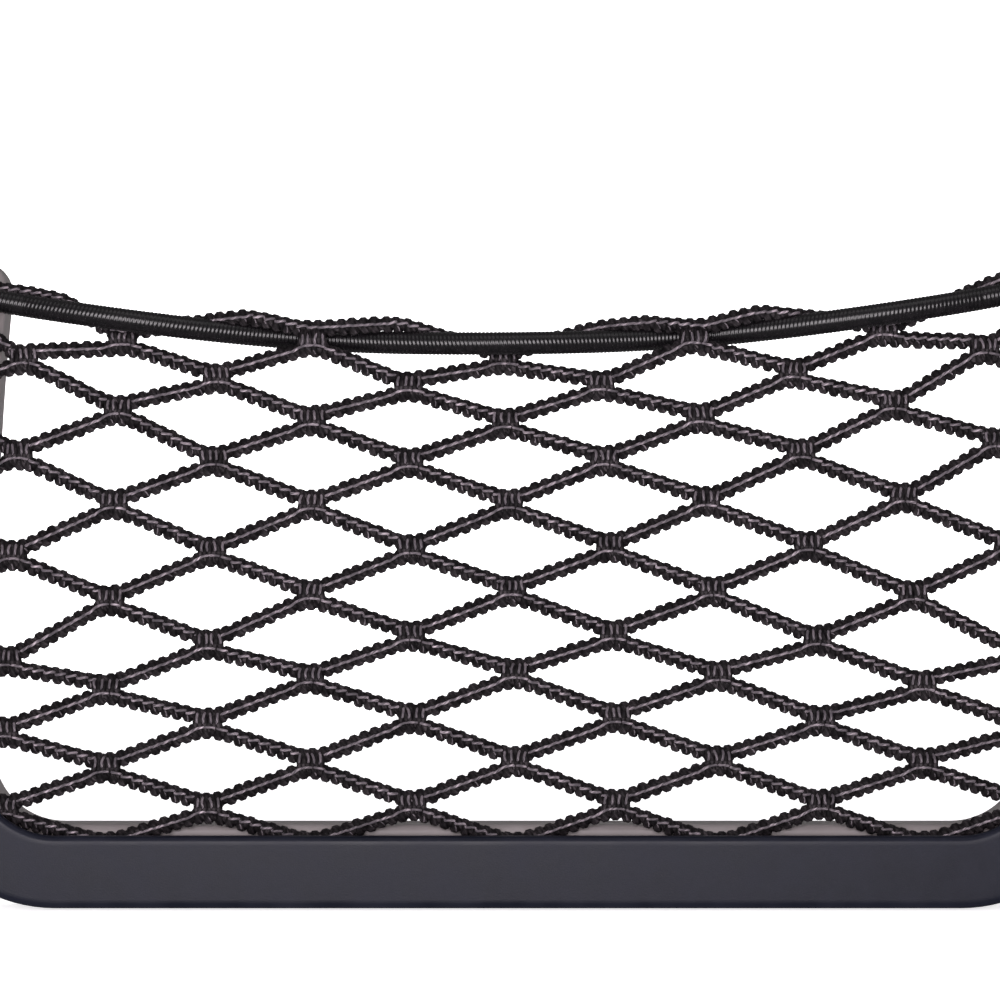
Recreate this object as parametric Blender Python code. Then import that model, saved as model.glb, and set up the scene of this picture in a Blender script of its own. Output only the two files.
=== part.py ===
"""Car door mesh pocket: an elastic net and cord held across a plain U-shaped plastic frame.

The frame stands against a door at Y = 0 and the net faces -Y. X runs along the door and Z is up.
The origin is the middle of the bottom bar's back face. All sizes below are in millimetres.
"""
import math

import bmesh
import bpy
import numpy as np
from mathutils import Vector

MM = 0.001

# Frame: the inner edge of each arm, and the bands that the base and the cover cover outside it.
INNER_HALF_WIDTH = 65.3
ARM_LEAN = 2.8
LEAN_HEIGHT = 75.0
LEAN_POWER = 3
BAR_TOP = 5.0
CORNER_RADIUS = 9.0
ARM_END_CENTRE = 71.5
BASE_BAND = (0.0, 8.2)
COVER_BAND = (1.0, 10.0)
HOLLOW_BAND = (-6.4, 8.5)
CLAMP_LINE = 6.0
CLAMP_LEAN = 4.1
CORNER_STEPS = 9
ARM_STEPS = 10
END_STEPS = 13

# Depths, from the door at 0 towards the front.
NET_PLANE = -8.72
BASE_FRONT = -7.52
COVER_BACK = -9.92
COVER_FRONT = -12.12
WALL_BACK = -1.0
HOLLOW_BACK = 2.0
BASE_ROUND = 0.9
COVER_ROUND = 0.8
ROUND_STEPS = 3
ROUND_ANGLE = 50
SMOOTH_ANGLE = 40
SEAT = {"x": (58.0, 70.4), "y": (-10.42, -7.02), "z": (67.4, 74.0)}

# Net: rows of joints, each with its height at the middle and how far it rises at the arms.
ROWS = (
    # (height, rise)
    (65.25, 4.7),
    (60.3, 4.1),
    (56.0, 3.1),
    (51.05, 1.9),
    (45.7, 0.7),
    (40.5, -0.25),
    (35.1, -0.9),
    (29.4, -2.1),
    (24.5, -1.0),
    (19.1, -0.4),
    (13.6, 0.0),
    (8.0, 0.0),
    (2.4, 0.0),
)
RISE_COLUMN = 5
ROW_TILT = 0.0625
COLUMN_PITCH = 11.91
PITCH_GROWTH = 0.106
MIDDLE_SHIFT = -0.6
SHIFT_GROWTH = 0.175
LAST_SPREAD_ROW = 8
JOINT_HALF_WIDTH = 1.8
JOINT_HALF_HEIGHT = 1.9
STRAND_HALF_HEIGHT = 1.0
NET_THICKNESS = 1.8
LEG_STEPS = 4
LEG_EASE = 0.35
ARCH_POWER = 0.85
WEAVE_POWER = 2.5

# Cord, and how the top row of joints weaves behind and in front of it.
CORD_DIAMETER = 2.8
CORD_END = 69.4
CORD_POINTS = 47
NET_WEAVE = 1.8
CORD_WEAVE = 1.85
JOINT_DROP = 0.95
SELVEDGE_RISE = 2.85
OUTER_COLUMN = 5

# Finishes: colour and roughness.
NET_YARN = ((0.012, 0.010, 0.011, 1.0), 0.75)
CORD_SHEATH = ((0.020, 0.018, 0.020, 1.0), 0.55)
BASE_PLASTIC = ((0.21, 0.19, 0.19, 1.0), 0.42)
COVER_PLASTIC = ((0.016, 0.016, 0.019, 1.0), 0.38)


def clear_scene():
    """Remove every object that the scene starts with."""
    for item in list(bpy.data.objects):
        bpy.data.objects.remove(item, do_unlink=True)


def make_material(name, finish):
    """Return a plain Principled material of a colour and roughness."""
    color, roughness = finish
    material = bpy.data.materials.new(name)
    material.use_nodes = True
    shader = material.node_tree.nodes["Principled BSDF"]
    shader.inputs["Base Color"].default_value = color
    shader.inputs["Roughness"].default_value = roughness
    shader.inputs["Metallic"].default_value = 0.0
    return material


def new_object(name, mesh, material):
    """Link a mesh into the scene as a named object with one material."""
    mesh.materials.append(material)
    item = bpy.data.objects.new(name, mesh)
    bpy.context.scene.collection.objects.link(item)
    return item


# ---------------------------------------------------------------- frame

def inner_half_width(z):
    """Half of the frame's inner width at height z: the arms lean in towards their tops."""
    return INNER_HALF_WIDTH - ARM_LEAN * (max(z, 0.0) / LEAN_HEIGHT) ** LEAN_POWER


def inner_edge():
    """Return the frame's inner edge as points, from the left arm's end round to the right arm's."""
    corner_top = BAR_TOP + CORNER_RADIUS
    right = []
    for angle in np.linspace(-math.pi / 2, 0.0, CORNER_STEPS):
        x = INNER_HALF_WIDTH - CORNER_RADIUS + CORNER_RADIUS * math.cos(angle)
        right.append((x, corner_top + CORNER_RADIUS * math.sin(angle)))
    for z in np.linspace(corner_top, ARM_END_CENTRE, ARM_STEPS)[1:]:
        right.append((inner_half_width(z), z))
    left = [(-x, z) for x, z in reversed(right)]
    return [Vector(point) for point in left + right]


def band_outline(inside, outside):
    """Return the outline of the U between two offsets from the inner edge, with round arm ends."""
    edge = inner_edge()
    normals = []
    for index, point in enumerate(edge):
        before = edge[max(index - 1, 0)]
        after = edge[min(index + 1, len(edge) - 1)]
        tangent = (after - before).normalized()
        normals.append(Vector((tangent.y, -tangent.x)))
    inner = [point + normal * inside for point, normal in zip(edge, normals)]
    outer = [point + normal * outside for point, normal in zip(edge, normals)]
    radius = (outside - inside) / 2
    outline = list(inner)
    outline += round_end(inner[-1], outer[-1], radius)
    outline += list(reversed(outer))
    outline += round_end(outer[0], inner[0], radius)
    return outline


def round_end(start, finish, radius):
    """Return the points between start and finish on the half circle that caps an arm."""
    centre = (start + finish) / 2
    first = math.atan2(start.y - centre.y, start.x - centre.x)
    points = []
    for step in np.linspace(0.0, math.pi, END_STEPS)[1:-1]:
        angle = first - step
        points.append(centre + radius * Vector((math.cos(angle), math.sin(angle))))
    return points


def prism(name, outline, back, front, material):
    """Extrude an outline in X and Z from depth back to depth front."""
    shape = bmesh.new()
    ring = [shape.verts.new((p.x * MM, back * MM, p.y * MM)) for p in outline]
    face = shape.faces.new(ring)
    grown = bmesh.ops.extrude_face_region(shape, geom=[face])
    moved = [item for item in grown["geom"] if isinstance(item, bmesh.types.BMVert)]
    bmesh.ops.translate(shape, verts=moved, vec=(0.0, (front - back) * MM, 0.0))
    bmesh.ops.recalc_face_normals(shape, faces=shape.faces)
    mesh = bpy.data.meshes.new(name)
    shape.to_mesh(mesh)
    shape.free()
    return new_object(name, mesh, material)


def box_cutter(name, x, y, z, material):
    """Return a hidden box that spans the given ranges."""
    outline = [Vector((x[0], z[0])), Vector((x[1], z[0])), Vector((x[1], z[1])), Vector((x[0], z[1]))]
    return as_cutter(prism(name, outline, y[1], y[0], material))


def as_cutter(item):
    """Mark an object as a cutter, so that it isn't built."""
    item.hide_render = True
    item.display_type = "WIRE"
    return item


def cut(item, cutter):
    """Subtract a cutter from an object."""
    modifier = item.modifiers.new("cut_" + cutter.name, "BOOLEAN")
    modifier.operation = "DIFFERENCE"
    modifier.solver = "EXACT"
    modifier.object = cutter


def soften(item, width):
    """Round the sharp edges of a moulded piece."""
    modifier = item.modifiers.new("round_edges", "BEVEL")
    modifier.width = width * MM
    modifier.segments = ROUND_STEPS
    modifier.limit_method = "ANGLE"
    modifier.angle_limit = math.radians(ROUND_ANGLE)
    item.data.shade_smooth()
    item.data.set_sharp_from_angle(angle=math.radians(SMOOTH_ANGLE))


def make_seats(material):
    """Return the two cutters that leave room for the cord's ends in the clamp."""
    seats = []
    for side, name in ((-1, "seat_left"), (1, "seat_right")):
        span = sorted(side * x for x in SEAT["x"])
        seats.append(box_cutter(name, span, SEAT["y"], SEAT["z"], material))
    return seats


def make_frame(base_material, cover_material):
    """Make the base that lies on the door and the cover that clamps the net to it.

    The cover is hollowed up to its outer wall, by a band that runs past its inner edge and back.
    """
    seats = make_seats(base_material)
    base = prism("frame_base", band_outline(*BASE_BAND), 0.0, BASE_FRONT, base_material)
    soften(base, BASE_ROUND)
    cover = prism("frame_cover", band_outline(*COVER_BAND), WALL_BACK, COVER_FRONT, cover_material)
    soften(cover, COVER_ROUND)
    hollow = prism("cover_hollow", band_outline(*HOLLOW_BAND), HOLLOW_BACK, COVER_BACK, cover_material)
    cut(cover, as_cutter(hollow))
    for seat in seats:
        cut(base, seat)
        cut(cover, seat)


# ---------------------------------------------------------------- cord

def cord_height(u):
    """Height of the sagging cord at column u."""
    height, rise = ROWS[0]
    return height + rise * (u / RISE_COLUMN) ** 2 + ROW_TILT * u


def weave(u):
    """Follow the weave: 1 where the net passes behind the cord, -1 where it passes in front."""
    return math.cos(math.pi * u / 2) if abs(u) < OUTER_COLUMN else 0.0


def make_cord(material):
    """Make the elastic cord as a tube that sags between the arms and weaves through the top row."""
    curve = bpy.data.curves.new("elastic_cord", "CURVE")
    curve.dimensions = "3D"
    curve.bevel_depth = CORD_DIAMETER / 2 * MM
    curve.bevel_resolution = 2
    curve.use_fill_caps = True
    spline = curve.splines.new("POLY")
    spline.points.add(CORD_POINTS - 1)
    for index, x in enumerate(np.linspace(-CORD_END, CORD_END, CORD_POINTS)):
        u = (x - MIDDLE_SHIFT) / COLUMN_PITCH
        y = NET_PLANE - CORD_WEAVE * weave(u)
        spline.points[index].co = (x * MM, y * MM, cord_height(u) * MM, 1.0)
    curve.materials.append(material)
    item = bpy.data.objects.new("elastic_cord", curve)
    bpy.context.scene.collection.objects.link(item)


# ---------------------------------------------------------------- net

def joint_place(row, column):
    """Return the centre of a joint: x, z."""
    spread = min(row, LAST_SPREAD_ROW)
    x = MIDDLE_SHIFT + SHIFT_GROWTH * spread + (COLUMN_PITCH + PITCH_GROWTH * spread) * column
    if row == 0:
        return x, cord_height(column) - JOINT_DROP * (1 + weave(column))
    height, rise = ROWS[row]
    return x, height + rise * (column / RISE_COLUMN) ** 2 + ROW_TILT * column


def leg_height(share):
    """Ease a leg's height from one end, 0, to the other, 1: flatter near both joints."""
    return share - LEG_EASE * math.sin(2 * math.pi * share) / (2 * math.pi)


def arch_height(share):
    """Ease the top strand's height: it climbs at once from its joint and arches flat at its peak."""
    return math.sin(math.pi / 2 * share) ** ARCH_POWER


def weave_share(share):
    """Ease a leg's depth from its woven joint, 0, to the net's plane, 1."""
    return 1 - share ** WEAVE_POWER


class NetSheet:
    """A flat sheet of strands, drawn as faces on shared points and thickened when it is finished."""

    def __init__(self):
        self.points = []
        self.faces = []

    def point(self, x, z, depth=0.0):
        self.points.append((x, NET_PLANE + depth, z))
        return len(self.points) - 1

    def joint(self, row, column):
        """Draw a joint as a rhombus and return its corners."""
        x, z = joint_place(row, column)
        depth = NET_WEAVE * weave(column) if row == 0 else 0.0
        corners = {
            "top": self.point(x, z + JOINT_HALF_HEIGHT, depth),
            "left": self.point(x - JOINT_HALF_WIDTH, z, depth),
            "bottom": self.point(x, z - JOINT_HALF_HEIGHT, depth),
            "right": self.point(x + JOINT_HALF_WIDTH, z, depth),
        }
        self.faces.append([corners["top"], corners["left"], corners["bottom"], corners["right"]])
        return corners

    def end(self, x, z):
        """Return the upper and lower points of a strand's end or peak."""
        return self.point(x, z + STRAND_HALF_HEIGHT), self.point(x, z - STRAND_HALF_HEIGHT)

    def leg(self, start, finish, ease):
        """Draw a leg between two edges, each an (upper, lower) pair, as a strip of quads."""
        rails = []
        for first, last in zip(start, finish):
            a = Vector(self.points[first])
            b = Vector(self.points[last])
            rail = [first]
            for share in np.linspace(0.0, 1.0, LEG_STEPS + 1)[1:-1]:
                x = a.x + (b.x - a.x) * share
                z = a.z + (b.z - a.z) * ease(share)
                depth = (a.y - NET_PLANE) * weave_share(share) + (b.y - NET_PLANE) * weave_share(1 - share)
                rail.append(self.point(x, z, depth))
            rails.append(rail + [last])
        upper, lower = rails
        for index in range(LEG_STEPS):
            quad = [upper[index], lower[index], lower[index + 1], upper[index + 1]]
            if self.points[start[0]][0] > self.points[finish[0]][0]:
                quad.reverse()
            self.faces.append(quad)

    def solid(self, name):
        """Give the sheet its thickness: front faces, back faces and walls along every free edge."""
        count = len(self.points)
        half = NET_THICKNESS / 2
        front = [(x * MM, (y - half) * MM, z * MM) for x, y, z in self.points]
        back = [(x * MM, (y + half) * MM, z * MM) for x, y, z in self.points]
        edges = [(a, b) for face in self.faces for a, b in zip(face, face[1:] + face[:1])]
        known = set(edges)
        faces = [list(face) for face in self.faces]
        faces += [[index + count for index in reversed(face)] for face in self.faces]
        for a, b in edges:
            if (b, a) not in known:
                faces.append([b, a, a + count, b + count])
        mesh = bpy.data.meshes.new(name)
        mesh.from_pydata(front + back, [], faces)
        mesh.validate()
        return mesh


def columns_of(row):
    """Return the columns that have a joint in this row."""
    last = OUTER_COLUMN if row % 2 else OUTER_COLUMN - 1
    return range(-last, last + 1, 2)


def edge_of(corners, vertical, side):
    """Return the (upper, lower) points of the joint's slanted edge on one side."""
    flank = corners["right" if side > 0 else "left"]
    return (corners["top"], flank) if vertical > 0 else (flank, corners["bottom"])


def draw_cells(sheet, joints):
    """Draw the legs that run between one row of joints and the next."""
    for row in range(1, len(ROWS)):
        for column in columns_of(row):
            for side in (-1, 1):
                above = joints.get((row - 1, column + side))
                if above is None:
                    continue
                start = edge_of(above, -1, -side)
                finish = edge_of(joints[(row, column)], 1, side)
                sheet.leg(start, finish, leg_height)


def draw_selvedge(sheet, joints):
    """Draw the top strand: free peaks between the joints, held under the cover at both ends."""
    peaks = {}
    for column in range(-OUTER_COLUMN, OUTER_COLUMN + 1, 2):
        x = MIDDLE_SHIFT + COLUMN_PITCH * column
        peaks[column] = sheet.end(x, cord_height(column) + SELVEDGE_RISE)
    for column in columns_of(0):
        for side in (-1, 1):
            start = edge_of(joints[(0, column)], 1, side)
            sheet.leg(start, peaks[column + side], arch_height)
    for side in (-1, 1):
        x = side * clamp_x(cord_height(OUTER_COLUMN))
        u = (x - MIDDLE_SHIFT) / COLUMN_PITCH
        sheet.leg(peaks[side * OUTER_COLUMN], sheet.end(x, cord_height(u) + SELVEDGE_RISE), leg_height)


def clamp_x(z):
    """Half width at height z of the line, under the cover, where the net's strands end."""
    drop = BAR_TOP + CORNER_RADIUS - z
    if drop <= 0:
        return INNER_HALF_WIDTH + CLAMP_LINE - CLAMP_LEAN * (z / LEAN_HEIGHT) ** LEAN_POWER
    return INNER_HALF_WIDTH - CORNER_RADIUS + math.sqrt((CORNER_RADIUS + CLAMP_LINE) ** 2 - drop ** 2)


def draw_held_ends(sheet, joints):
    """Draw the legs that run from the outermost joints into the clamp under the cover."""
    for row in range(1, len(ROWS), 2):
        for side in (-1, 1):
            x, z = joint_place(row, side * OUTER_COLUMN)
            corners = joints[(row, side * OUTER_COLUMN)]
            for vertical in (-1, 1):
                row_beyond = min(row - vertical, len(ROWS) - 1)
                x_beyond, z_beyond = joint_place(row_beyond, side * (OUTER_COLUMN + 1))
                x_end = side * clamp_x((z + z_beyond) / 2)
                share = (x_end - x) / (x_beyond - x)
                z_end = z + (z_beyond - z) * share - vertical * STRAND_HALF_HEIGHT * (1 - share)
                if row_beyond == 0:
                    u = (x_end - MIDDLE_SHIFT) / COLUMN_PITCH
                    z_end = cord_height(u) - SELVEDGE_RISE
                sheet.leg(edge_of(corners, vertical, side), sheet.end(x_end, z_end), leg_height)


def make_net(material):
    """Make the whole net as one closed lattice."""
    sheet = NetSheet()
    joints = {}
    for row in range(len(ROWS)):
        for column in columns_of(row):
            joints[(row, column)] = sheet.joint(row, column)
    draw_selvedge(sheet, joints)
    draw_cells(sheet, joints)
    draw_held_ends(sheet, joints)
    new_object("net", sheet.solid("net"), material)


def main():
    clear_scene()
    make_frame(make_material("base_plastic", BASE_PLASTIC), make_material("cover_plastic", COVER_PLASTIC))
    make_net(make_material("net_yarn", NET_YARN))
    make_cord(make_material("cord_sheath", CORD_SHEATH))


main()
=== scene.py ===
"""Looks of a car door mesh pocket: crocheted net, wrapped elastic cord and moulded frame.

Lengths are in millimetres up to the last step, which puts them into meshes in metres. X runs
along the door, Y into it and Z up; the net faces -Y. A strand is one horizontal zigzag of the net.
"""
import math

import bmesh
import bpy
import numpy as np
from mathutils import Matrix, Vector


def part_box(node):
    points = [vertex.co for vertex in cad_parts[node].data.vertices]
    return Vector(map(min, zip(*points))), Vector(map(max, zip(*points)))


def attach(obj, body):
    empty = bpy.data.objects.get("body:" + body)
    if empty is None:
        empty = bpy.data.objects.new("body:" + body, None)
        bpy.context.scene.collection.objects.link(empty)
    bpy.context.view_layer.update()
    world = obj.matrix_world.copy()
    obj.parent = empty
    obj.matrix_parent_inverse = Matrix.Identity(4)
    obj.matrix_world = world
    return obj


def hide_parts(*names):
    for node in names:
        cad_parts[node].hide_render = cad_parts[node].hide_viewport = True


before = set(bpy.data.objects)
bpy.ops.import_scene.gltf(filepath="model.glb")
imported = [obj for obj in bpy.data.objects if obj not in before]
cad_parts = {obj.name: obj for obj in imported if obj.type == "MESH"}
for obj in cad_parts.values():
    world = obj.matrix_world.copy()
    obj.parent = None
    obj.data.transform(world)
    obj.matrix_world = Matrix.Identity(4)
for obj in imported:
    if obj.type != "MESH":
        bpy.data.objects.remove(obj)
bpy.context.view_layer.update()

MM = 0.001
SEED = 7


def box_mm(node):
    """Lowest and highest corner of a CAD node, in millimetres."""
    low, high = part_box(node)
    return np.array(low) / MM, np.array(high) / MM


BASE_LOW, BASE_HIGH = box_mm("frame_base")
COVER_LOW, COVER_HIGH = box_mm("frame_cover")

# Frame, as the CAD parts have it: bands are offsets out from the pocket's inner edge.
INNER_HALF_WIDTH = 65.3
ARM_LEAN = 2.8
LEAN_HEIGHT = 75.0
LEAN_POWER = 3
BAR_TOP = 5.0
CORNER_RADIUS = 9.0
ARM_END_CENTRE = 71.5
BASE_BAND = (0.0, 8.2)
COVER_BAND = (1.0, 10.0)
WALL_THICKNESS = 1.5
PLATE_THICKNESS = 2.2
BASE_ROUND = 0.9
COVER_ROUND = 0.8
CLAMP_LINE = 6.0
CLAMP_LEAN = 4.1
WALL_FOOT_EDGE = 0.06
WALL_FOOT_ROUND = 0.25

# How finely the frame is divided, and where the points of a section's flat faces lie.
BAR_STEPS = 40
CORNER_STEPS = 24
ARM_STEPS = 110
END_STEPS = 26
EDGE_STEPS = 6
FACE_SHARES = (0.0, 0.45, 0.9)
MERGE_DISTANCE = 0.00001
SLIVER_LENGTH = 0.000005

# Depths.
NET_PLANE = (BASE_LOW[1] + COVER_LOW[1] + PLATE_THICKNESS) / 2
COVER_BACK = COVER_LOW[1] + PLATE_THICKNESS

# Rows of joints: height at the middle, rise at the arms, and tilt from column to column.
ROWS = (
    # (height, rise, tilt)
    (65.25, 5.2, 0.0875),
    (59.8, 4.15, 0.125),
    (55.4, 3.05, 0.09),
    (50.45, 1.7, 0.15),
    (45.25, 0.7, 0.10),
    (39.75, -0.3, 0.10),
    (34.4, -1.4, 0.09),
    (29.0, -2.9, 0.09),
    (24.0, -2.6, 0.06),
    (18.6, -1.6, 0.06),
    (13.1, -0.8, 0.06),
    (7.6, -0.3, 0.06),
    (2.4, 0.0, 0.0),
)
RISE_COLUMN = 5
COLUMN_PITCH = 11.91
PITCH_GROWTH = 0.106
MIDDLE_SHIFT = -0.6
SHIFT_GROWTH = 0.175
LAST_SPREAD_ROW = 8
OUTER_COLUMN = 5
JOINT_JITTER = 0.08

# Joints on the top row: column -> drop under the cord's centre, and half of its strands' distance.
WOVEN_JOINTS = {
    # column: (drop, half distance)
    -4: (2.4, 1.1),
    -2: (0.03, 1.35),
    0: (1.9, 1.0),
    2: (0.08, 1.3),
    4: (2.07, 0.9),
}

# The selvedge strand's free bends: column, height over the cord's centre, depth behind it.
SELVEDGE_BENDS = (
    # (column, lift, depth)
    (-6.0, 1.0, 0.5),
    (-5.0, 1.6, 1.3),
    (-4.6, 1.25, 1.3),
    (-2.65, 2.05, -1.0),
    (-1.1, 2.25, 0.0),
    (1.0, 1.7, 1.2),
    (1.5, 2.0, -0.6),
    (2.7, 2.1, -0.9),
    (5.2, 1.8, 1.3),
    (6.0, 2.4, 0.5),
)

# A strand's line.
JOINT_SPACING = 0.97
JOINT_HALF_WIDTH = 1.9
JOINT_EDGE_POWER = 4
VALLEY_FLAT = 1.25
PEAK_FLAT = 0.95
VALLEY_ROUND = 0.35
PEAK_ROUND = 0.6
CORNER_PASSES = 4
SLOPE_BLEND = 0.07
LINE_STEP = 0.06
STITCH_PITCH = 1.39
STITCH_JITTER = 0.07

# Its core.
CORE_HALF_HEIGHT = 0.78
CORE_HALF_DEPTH = 0.55
CORE_LIFT = 0.08
CORE_SWELL = 0.04
CORE_SIDES = 12
CORE_STEP = 0.35

# Picots that wrap the core: reaches are (up, down), and the yarn is (half width, half thickness).
PICOT_REACH = {"rising": (1.14, 1.14), "falling": (1.06, 1.18), "joint": 1.05}
PICOT_REACH_SPREAD = (0.95, 1.05)
PICOT_DEPTH = 0.42
PICOT_YARN = (0.53, 0.34)
PICOT_BULGE = 0.16
PICOT_SLANT = 0.22
PICOT_RISING_SLANT = 0.25
PICOT_AHEAD = 0.1
PICOT_STEPS = 12
PICOT_STEP_LENGTH = 0.45
YARN_SIDES = 6

# Chain along the front of the core.
CHAIN_RADIUS = 0.17
CHAIN_FLATNESS = 0.9
CHAIN_FRONT = 0.9
CHAIN_LIFT = 0.22
CHAIN_PEAK_LIFT = 0.45
CHAIN_SWING = 0.2
CHAIN_DIVE = 0.5
CHAIN_TILT = 0.05
CHAIN_VALLEY_DEPTH = 0.6
CHAIN_LEAST_FALL = 0.22
CHAIN_STEPS = 9
LINK_SHARE = 0.8

# Side yarns: depths are those of the middle, and what the foot and the head sink behind it.
SIDE_YARN_RADIUS = 0.075
SIDE_YARN_KEPT = 0.45
SIDE_YARN_RISING_KEPT = 0.25
SIDE_YARN_OFFSET = 0.35
SIDE_YARN_HEAD = 0.12
SIDE_YARN_LENGTH = (0.3, 0.75)
SIDE_YARN_LEAN = (-0.38, -0.02)
SIDE_YARN_LEAN_SPREAD = (0.5, 1.3)
SIDE_YARN_BOW = 0.08
SIDE_YARN_DEPTHS = (-0.84, 0.42, 0.35)
SIDE_YARN_STEPS = 6
SIDE_YARN_SIDES = 5
SIDE_YARN_STEP_LENGTH = 0.25

# Yarns round a joint: dark ties between its strands, and light stitches on the upper strand.
TIE = {"count": 6, "spacing": 0.56, "depth": 0.66, "yarn": 0.38, "loose": 0.04}
STITCH = {"count": 4, "spacing": 0.86, "depth": 0.98, "yarn": 0.17, "loose": 0.12}

# The centre's rise and the half height of those yarns.
TIE_REACH = {"plain": (0.0, 0.9), "behind": (0.1, 0.95), "before": (0.0, 0.95)}
STITCH_REACH = {"plain": (0.55, 0.72), "behind": (0.35, 0.5), "before": (-0.1, 0.85)}
RING_HEIGHT_SPREAD = (0.93, 1.07)
RING_LEAN = 0.2
RING_SQUARENESS = 0.6
RING_STEPS = 14
RING_STEP_LENGTH = 0.3

# Cord.
CORD_RADIUS = 1.41
CORD_WEAVE = 1.85
NET_WEAVE = 0.7
SELVEDGE_WEAVE = 2.5
CORD_END = 69.4
RIB_PITCH = 0.49
RIB_HEIGHT = 0.09
RIB_LEAN = 4.5
RIB_LEAN_MIDDLE = -5.0
RIB_LEAN_LENGTH = 90.0
RIB_MEAN = 0.6
RIB_STEPS = 5
CORD_SIDES = 26

# Finishes. A yarn has plies round it, twist for each millimetre, and a tight spot at each link.
# All the net's yarn is the same near-black polyester: each pale colour is a painted glint, and the
# chain and stitch yarns are lifted whole, dark colour too, as painted glint.
BODY_YARN = {
    "plies": 4.0, "twist": 0.9, "link": 2.7, "relief": 0.5, "gloss": 0.1,
    "dark": (0.0025, 0.002, 0.0025), "light": (0.075, 0.064, 0.070),
}
CHAIN_YARN = {
    "plies": 2.0, "twist": 1.2, "link": STITCH_PITCH, "relief": 0.4, "gloss": 0.3,
    "dark": (0.05, 0.043, 0.05), "light": (0.66, 0.56, 0.62),
}
STITCH_YARN = {
    "plies": 2.0, "twist": 1.2, "link": 4.2, "relief": 0.4, "gloss": 0.3,
    "dark": (0.05, 0.043, 0.05), "light": (0.78, 0.66, 0.73),
}
FIBRES_PER_PLY = 4.0
FIBRE_DRIFT = 0.8
PLY_HEIGHT = 0.7
FIBRE_HEIGHT = 0.3
YARN_RELIEF = 0.00006
CORD_DARK = (0.003, 0.0028, 0.0033)
CORD_LIGHT = (0.007, 0.006, 0.007)
CORD_GLOSS = 0.4
BASE_DARK = (0.20, 0.18, 0.18)
BASE_LIGHT = (0.26, 0.235, 0.235)
COVER_DARK = (0.006, 0.007, 0.013)
COVER_LIGHT = (0.012, 0.013, 0.022)
PLASTIC_GRAIN = 0.35
PLASTIC_RELIEF = 0.00003
PLASTIC_GLOSS = 0.15
PAPER_COLOR = (0.93, 0.92, 0.93)
PAPER_ROUGHNESS = 0.9
PAPER_GLOW = 0.75

# Stage, a sweep of paper, and its lights.
FLOOR_GAP = 0.3
SWEEP_FRONT = -2500.0
SWEEP_BACK = 1500.0
SWEEP_BEND = 400.0
SWEEP_HEIGHT = 2200.0
SWEEP_HALF_WIDTH = 2500.0
SWEEP_STEPS = 16
LIGHTS = (
    # (name, place, aim, size, power, colour)
    ("front_softbox", (-60, -620, 110), (0, 0, 60), (420, 300), 4.4, (1.0, 0.94, 0.98)),
    ("top_softbox", (80, -200, 520), (0, 0, 40), (500, 260), 0.35, (1.0, 0.98, 0.99)),
    ("backdrop_wash", (0, 500, 900), (0, 1500, 600), (1800, 400), 20.0, (1.0, 1.0, 1.0)),
)
AIR_COLOR = (1.0, 0.99, 1.0, 1.0)
AIR_STRENGTH = 0.15

# View.
VIEW_WIDTH = 125.0
VIEW_CENTRE = (-1.0, 45.75)
CAMERA_DISTANCE = 460.0
SENSOR = 36.0
CLIP_START = 0.01
CLIP_END = 10.0


# ---------------------------------------------------------------- meshes

def put_mesh(name, points, faces, uvs=None):
    """Make a smooth object from points in millimetres and lists of quads and end caps.

    faces is a list of integer arrays, each of one corner count; uvs is the list of their corner
    coordinates. All faces are turned over if together they enclose a negative volume.
    """
    points = np.asarray(points, dtype=np.float64).reshape(-1, 3)
    if enclosed(points, faces) < 0:
        faces = [block[:, ::-1] for block in faces]
        uvs = None if uvs is None else [block[:, ::-1] for block in uvs]
    totals = np.concatenate([np.full(len(block), block.shape[1]) for block in faces])
    corners = np.concatenate([block.ravel() for block in faces])
    mesh = bpy.data.meshes.new(name)
    mesh.vertices.add(len(points))
    mesh.vertices.foreach_set("co", (points * MM).ravel())
    mesh.loops.add(len(corners))
    mesh.loops.foreach_set("vertex_index", corners.astype(np.int32))
    mesh.polygons.add(len(totals))
    starts = np.concatenate([[0], np.cumsum(totals)[:-1]])
    mesh.polygons.foreach_set("loop_start", starts.astype(np.int32))
    mesh.polygons.foreach_set("use_smooth", np.full(len(totals), True))
    if uvs is not None:
        layer = mesh.uv_layers.new(name="yarn")
        pairs = np.concatenate([block.reshape(-1, 2) for block in uvs])
        layer.data.foreach_set("uv", pairs.ravel())
    mesh.update(calc_edges=True)
    mesh.validate()
    item = bpy.data.objects.new(name, mesh)
    bpy.context.scene.collection.objects.link(item)
    return item


def enclosed(points, faces):
    """Six times the volume inside the faces, summed over fans of triangles."""
    total = 0.0
    for block in faces:
        first = points[block[:, 0]]
        for corner in range(1, block.shape[1] - 1):
            second = points[block[:, corner]]
            third = points[block[:, corner + 1]]
            total += float((first * np.cross(second, third)).sum())
    return total


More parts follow.
